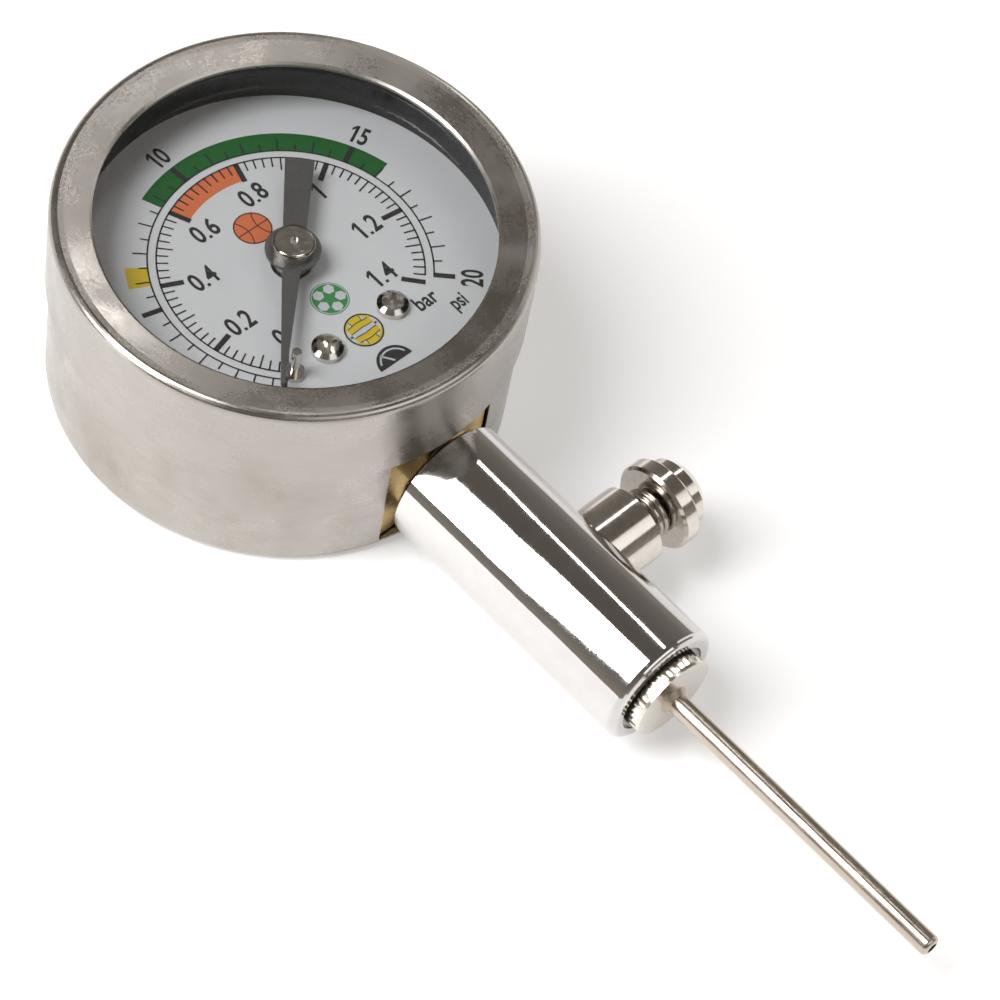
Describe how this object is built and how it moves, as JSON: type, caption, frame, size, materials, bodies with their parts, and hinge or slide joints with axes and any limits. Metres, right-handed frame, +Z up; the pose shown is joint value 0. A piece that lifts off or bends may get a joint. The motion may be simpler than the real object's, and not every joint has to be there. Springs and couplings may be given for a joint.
{
  "type": "ball pressure gauge",
  "caption": "Round dial pressure gauge with a chromed stem, push-button bleed valve and screw-in needle for reading the pressure in sports balls.",
  "frame": {"origin": "centre of the case's flat back face", "axes": "+Z up through the dial, +Y is the dial's twelve o'clock, the stem and needle run along -Y and the bleed valve along +X"},
  "size_m": [0.0498, 0.1194, 0.0258],
  "materials": {
    "case_steel": "worn brushed steel",
    "window_glass": "clear flat window",
    "black_rubber": "matt",
    "black_plastic": "matt black",
    "dial_white": "satin white with printed scales",
    "nickel": "nickel plate, warm",
    "pointer_grey": "dark grey metal, lightly brushed",
    "spindle_steel": "turned",
    "brass": "satin brass",
    "bronze": "satin bronze",
    "stem_chrome": "mirror chrome",
    "spring_steel": "drawn wire",
    "needle_nickel": "nickel plate, slightly tarnished",
    "solder": "dull solder",
    "print_black": "printed ink",
    "print_green": "printed ink",
    "print_orange": "printed ink",
    "print_yellow": "printed ink"
  },
  "bodies": {
    "case": {"case_shell": "case_steel", "bezel_ring": "case_steel", "window": "window_glass", "window_gasket": "black_rubber", "spacer_ring": "black_plastic", "dial_plate": "dial_white", "dial_screws": "nickel", "stop_pin": "nickel", "hairspring": "bronze", "lower_plate": "brass", "upper_plate": "brass", "pillars": "brass", "movement_screws": "spindle_steel", "bourdon_tube": "bronze", "tip_plug": "brass", "socket_block": "brass", "stem": "stem_chrome", "valve_body": "nickel", "valve_spring": "spring_steel"},
    "indicator": {"pointer": "pointer_grey", "pointer_cap": "nickel", "pinion_arbor": "spindle_steel", "hairspring_collet": "brass"},
    "sector": {"sector_gear": "brass", "sector_arbor": "spindle_steel"},
    "link_arm": {"link": "spindle_steel", "link_pin": "spindle_steel"},
    "bleed_button": {"valve_button": "nickel", "valve_rod": "spindle_steel", "valve_seal": "black_rubber"},
    "needle_seal": {"needle_washer": "black_rubber"},
    "needle": {"needle_hub": "nickel", "needle_collar": "solder", "needle_tube": "needle_nickel"}
  },
  "joints": [
    {"name": "pointer_turn", "type": "hinge", "parent": "case", "child": "indicator", "pos_m": [0, 0, 0.0182], "axis": [0, 0, 1], "range_deg": [-270, 0], "stiffness_Nm_per_rad": 0.00002, "springref_deg": 17.19},
    {"name": "sector_turn", "type": "hinge", "parent": "case", "child": "sector", "pos_m": [0.005, 0.00866, 0.012], "axis": [0, 0, 1], "range_deg": [0, 30]},
    {"name": "link_turn", "type": "hinge", "parent": "sector", "child": "link_arm", "pos_m": [0.00944, 0.00747, 0.0115], "axis": [0, 0, 1], "range_deg": [-30, 0]},
    {"name": "bleed_press", "type": "slide", "parent": "case", "child": "bleed_button", "axis": [-1, 0, 0], "range_m": [0, 0.0018], "stiffness_N_per_m": 1200, "springref_m": -0.0015, "deforming": ["valve_spring"]},
    {"name": "needle_slide", "type": "slide", "parent": "case", "child": "needle_seal", "axis": [0, -1, 0], "range_m": [0, 0.0048]},
    {"name": "needle_turn", "type": "hinge", "parent": "needle_seal", "child": "needle", "pos_m": [0, -0.058, 0.0078], "axis": [0, -1, 0], "range_deg": [0, 2160]}
  ],
  "couplings": [
    {"joint": "sector_turn", "follows": "pointer_turn", "ratio": -0.11111},
    {"joint": "link_turn", "follows": "pointer_turn", "ratio": 0.11111},
    {"joint": "needle_slide", "follows": "needle_turn", "m_per_rad": 0.00012732}
  ]
}
